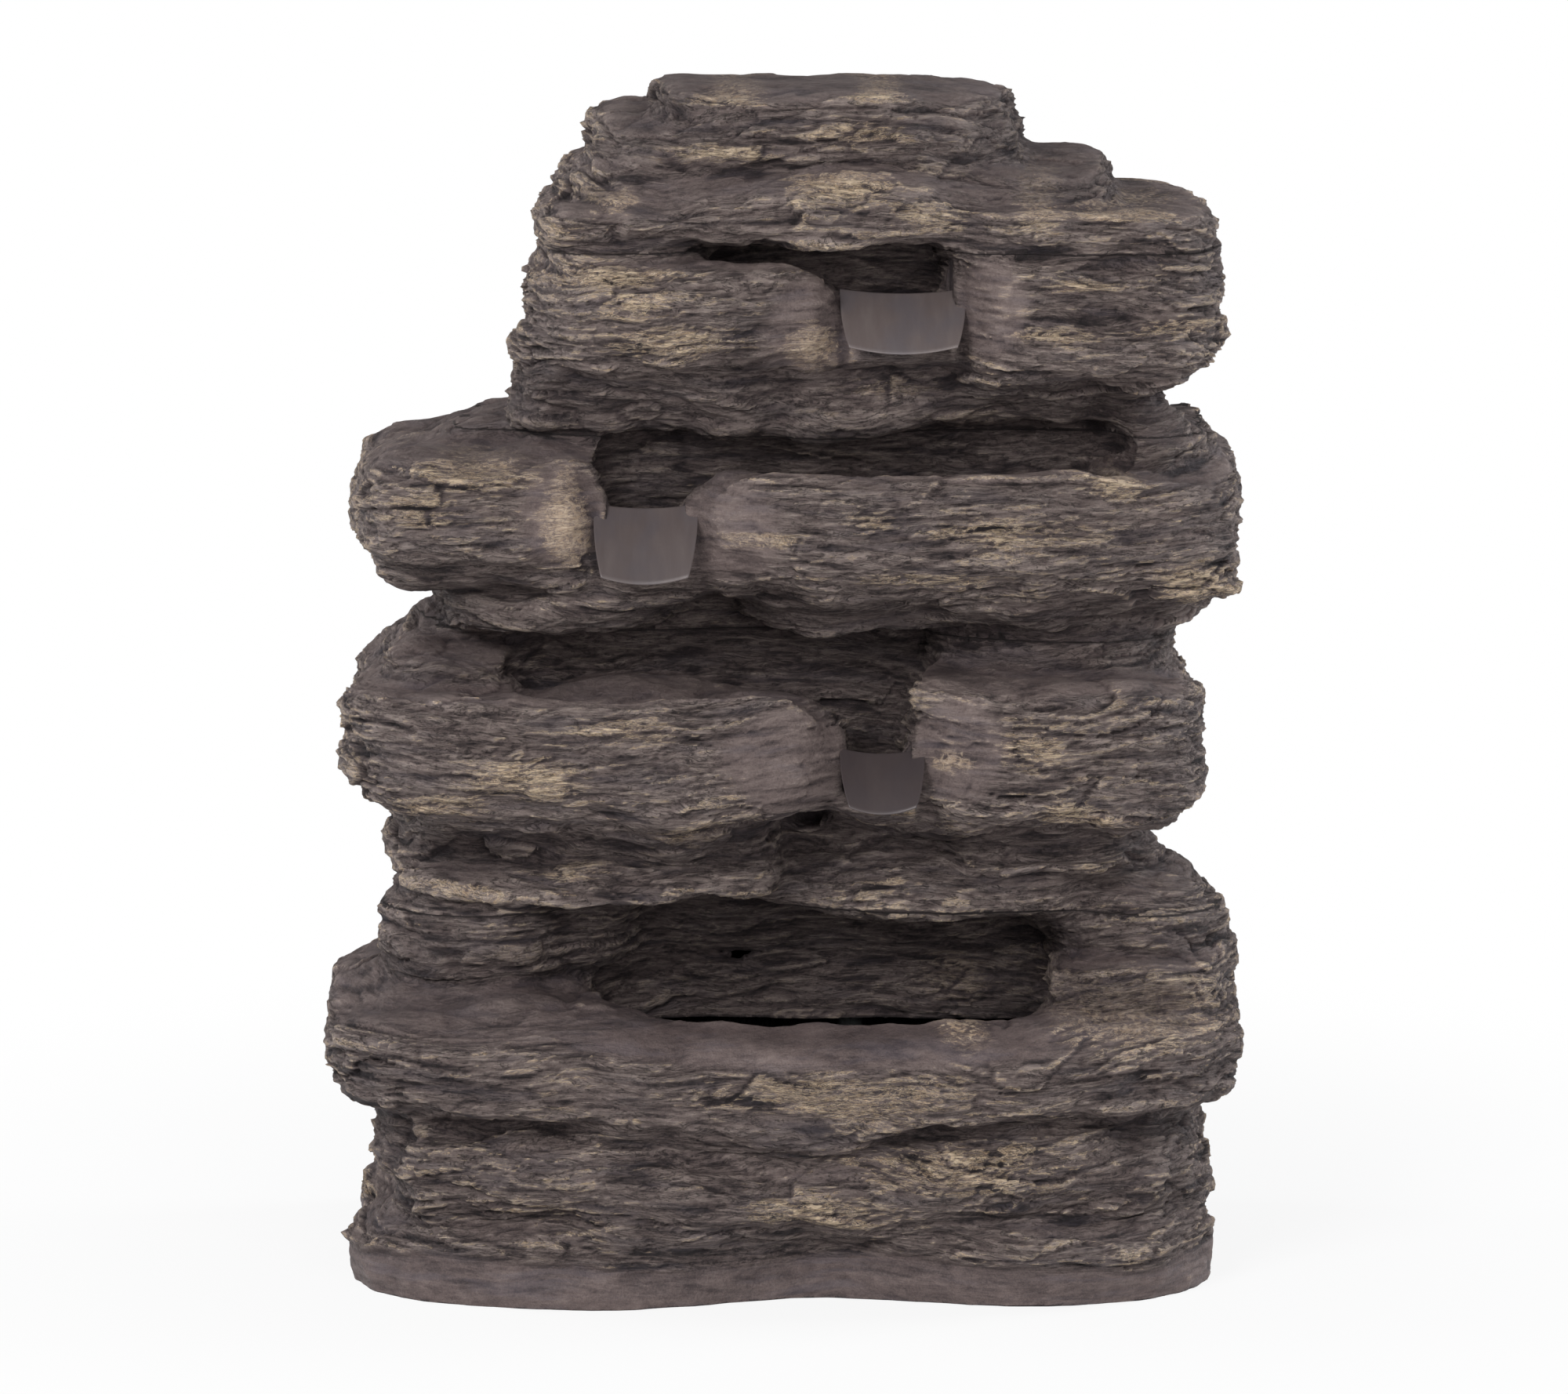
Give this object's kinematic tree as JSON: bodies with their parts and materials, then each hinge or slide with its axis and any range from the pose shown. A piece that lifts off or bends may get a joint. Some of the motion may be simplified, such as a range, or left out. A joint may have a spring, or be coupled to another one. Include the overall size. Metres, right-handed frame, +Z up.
{
  "type": "cascading tabletop fountain",
  "caption": "Free-standing rock-look fountain: stacked cast tiers hold pools whose water spills down smooth chutes into a basin, fed by a hidden pump.",
  "frame": {"origin": "on the base's flat underside, on the ground plane, midway across the fountain", "axes": "+Z up, -Y to the front where the water falls, +X to the viewer's right"},
  "size_m": [0.6552, 0.3618, 0.8381],
  "materials": {
    "rock": "matt cast resin with a dry-brushed gold wash",
    "chute": "smooth satin resin",
    "door": "matt moulded plastic",
    "pump_plastic": "satin black plastic",
    "rubber": "matt black rubber",
    "hose": "grey vinyl",
    "magnet": "dark ferrite",
    "ceramic": "polished white ceramic",
    "steel": "bright stainless steel"
  },
  "bodies": {
    "fountain": {"base_reservoir": "rock", "lower_tier_rock": "rock", "middle_tier_rock": "rock", "upper_tier_rock": "rock", "cap_rock": "rock", "upper_spill_chute": "chute", "middle_spill_chute": "chute", "lower_spill_chute": "chute", "door_keeper_left": "steel", "door_keeper_right": "steel", "cord_grommet": "rubber", "pump_motor_housing": "pump_plastic", "pump_cord_gland": "rubber", "pump_spindle": "ceramic", "pump_bush_rear": "rubber", "pump_bush_front": "rubber", "pump_volute": "pump_plastic", "pump_intake_grille": "pump_plastic", "suction_cup_left_front": "rubber", "suction_cup_left_back": "rubber", "suction_cup_right_front": "rubber", "suction_cup_right_back": "rubber", "outlet_elbow": "pump_plastic", "outlet_gasket": "rubber", "outlet_nut": "pump_plastic", "supply_hose": "hose", "hose_clamp_lower": "steel", "hose_clamp_upper": "steel"},
    "door": {"rear_access_door": "door", "door_magnet_left": "steel", "door_magnet_right": "steel"},
    "plug": {"drain_plug": "rubber"},
    "rotor": {"pump_rotor_magnet": "magnet", "pump_impeller": "pump_plastic"},
    "dial": {"flow_dial": "pump_plastic"}
  },
  "joints": [
    {"name": "door_pull", "type": "slide", "parent": "fountain", "child": "door", "axis": [0, 1, 0], "range_m": [0, 0.12]},
    {"name": "drain_plug_pull", "type": "slide", "parent": "fountain", "child": "plug", "axis": [0, 1, 0], "range_m": [0, 0.04]},
    {"name": "impeller_spin", "type": "hinge", "parent": "fountain", "child": "rotor", "pos_m": [0.04, 0.057, 0.0503], "axis": [1, 0, 0], "continuous": true},
    {"name": "flow_dial_turn", "type": "hinge", "parent": "fountain", "child": "dial", "pos_m": [0.0587, 0.057, 0.0503], "axis": [1, 0, 0], "range_deg": [0, 90]}
  ]
}
